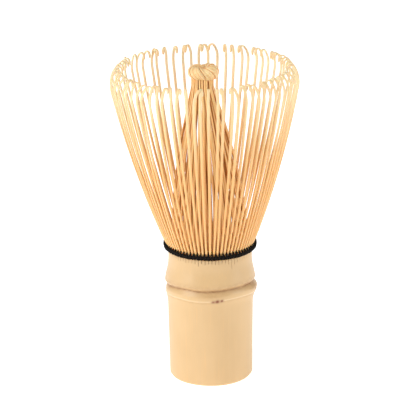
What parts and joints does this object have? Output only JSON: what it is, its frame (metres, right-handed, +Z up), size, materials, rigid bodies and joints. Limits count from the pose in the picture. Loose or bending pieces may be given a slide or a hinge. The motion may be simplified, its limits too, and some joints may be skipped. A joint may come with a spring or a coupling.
{
  "type": "bamboo tea whisk",
  "caption": "Bamboo tea whisk: a culm handle whose upper wall is split into an outer ring of curled springy tines and an inner cone of tines, laced apart with black thread.",
  "frame": {"origin": "centre of the foot, on the surface the whisk stands on, which is also the mouth of the hollow handle", "axes": "+Z up the handle to the tines; -Y is the front; +X to the right seen from the front"},
  "size_m": [0.0634, 0.0635, 0.1104],
  "materials": {
    "bamboo_culm": "satin natural bamboo skin, pale straw",
    "bamboo_diaphragm": "matt bamboo pith",
    "bamboo_outer_tines": "shaved bamboo, cream at the tips",
    "bamboo_inner_tines": "shaved bamboo, orange tan",
    "cotton_thread": "matt black twisted cotton"
  },
  "bodies": {
    "whisk_core": {"handle": "bamboo_culm", "node_septum": "bamboo_diaphragm", "inner_tines_01": "bamboo_inner_tines", "inner_tines_02": "bamboo_inner_tines", "inner_tines_03": "bamboo_inner_tines", "inner_tines_04": "bamboo_inner_tines", "inner_tines_05": "bamboo_inner_tines", "inner_tines_06": "bamboo_inner_tines", "inner_tines_07": "bamboo_inner_tines", "inner_tines_08": "bamboo_inner_tines", "inner_tines_09": "bamboo_inner_tines", "inner_tines_10": "bamboo_inner_tines", "inner_tines_11": "bamboo_inner_tines", "inner_tines_12": "bamboo_inner_tines", "inner_knot": "bamboo_inner_tines", "lacing_thread": "cotton_thread"},
    "stave_01": {"outer_tines_01": "bamboo_outer_tines"},
    "stave_02": {"outer_tines_02": "bamboo_outer_tines"},
    "stave_03": {"outer_tines_03": "bamboo_outer_tines"},
    "stave_04": {"outer_tines_04": "bamboo_outer_tines"},
    "stave_05": {"outer_tines_05": "bamboo_outer_tines"},
    "stave_06": {"outer_tines_06": "bamboo_outer_tines"},
    "stave_07": {"outer_tines_07": "bamboo_outer_tines"},
    "stave_08": {"outer_tines_08": "bamboo_outer_tines"},
    "stave_09": {"outer_tines_09": "bamboo_outer_tines"},
    "stave_10": {"outer_tines_10": "bamboo_outer_tines"},
    "stave_11": {"outer_tines_11": "bamboo_outer_tines"},
    "stave_12": {"outer_tines_12": "bamboo_outer_tines"}
  },
  "joints": [
    {"name": "flex_01", "type": "hinge", "parent": "whisk_core", "child": "stave_01", "pos_m": [0.00279, -0.01355, 0.0462], "axis": [0.9795, 0.2017, 0], "range_deg": [-2.2, 6], "stiffness_Nm_per_rad": 0.013},
    {"name": "flex_02", "type": "hinge", "parent": "whisk_core", "child": "stave_02", "pos_m": [0.00886, -0.01063, 0.0462], "axis": [0.7683, 0.6401, 0], "range_deg": [-2.2, 6], "stiffness_Nm_per_rad": 0.013},
    {"name": "flex_03", "type": "hinge", "parent": "whisk_core", "child": "stave_03", "pos_m": [0.01289, -0.00503, 0.0462], "axis": [0.3635, 0.9316, 0], "range_deg": [-2.2, 6], "stiffness_Nm_per_rad": 0.013},
    {"name": "flex_04", "type": "hinge", "parent": "whisk_core", "child": "stave_04", "pos_m": [0.01368, 0.00207, 0.0462], "axis": [-0.1494, 0.9888, 0], "range_deg": [-2.2, 6], "stiffness_Nm_per_rad": 0.013},
    {"name": "flex_05", "type": "hinge", "parent": "whisk_core", "child": "stave_05", "pos_m": [0.01067, 0.00881, 0.0462], "axis": [-0.6368, 0.7711, 0], "range_deg": [-2.2, 6], "stiffness_Nm_per_rad": 0.013},
    {"name": "flex_06", "type": "hinge", "parent": "whisk_core", "child": "stave_06", "pos_m": [0.00444, 0.0131, 0.0462], "axis": [-0.9472, 0.3207, 0], "range_deg": [-2.2, 6], "stiffness_Nm_per_rad": 0.013},
    {"name": "flex_07", "type": "hinge", "parent": "whisk_core", "child": "stave_07", "pos_m": [-0.0032, 0.01346, 0.0462], "axis": [-0.9729, -0.2312, 0], "range_deg": [-2.2, 6], "stiffness_Nm_per_rad": 0.013},
    {"name": "flex_08", "type": "hinge", "parent": "whisk_core", "child": "stave_08", "pos_m": [-0.00982, 0.00975, 0.0462], "axis": [-0.7046, -0.7096, 0], "range_deg": [-2.2, 6], "stiffness_Nm_per_rad": 0.013},
    {"name": "flex_09", "type": "hinge", "parent": "whisk_core", "child": "stave_09", "pos_m": [-0.01344, 0.00327, 0.0462], "axis": [-0.2366, -0.9716, 0], "range_deg": [-2.2, 6], "stiffness_Nm_per_rad": 0.013},
    {"name": "flex_10", "type": "hinge", "parent": "whisk_core", "child": "stave_10", "pos_m": [-0.01327, -0.00391, 0.0462], "axis": [0.2824, -0.9593, 0], "range_deg": [-2.2, 6], "stiffness_Nm_per_rad": 0.013},
    {"name": "flex_11", "type": "hinge", "parent": "whisk_core", "child": "stave_11", "pos_m": [-0.00971, -0.00986, 0.0462], "axis": [0.7126, -0.7015, 0], "range_deg": [-2.2, 6], "stiffness_Nm_per_rad": 0.013},
    {"name": "flex_12", "type": "hinge", "parent": "whisk_core", "child": "stave_12", "pos_m": [-0.00388, -0.01328, 0.0462], "axis": [0.9598, -0.2806, 0], "range_deg": [-2.2, 6], "stiffness_Nm_per_rad": 0.013}
  ]
}
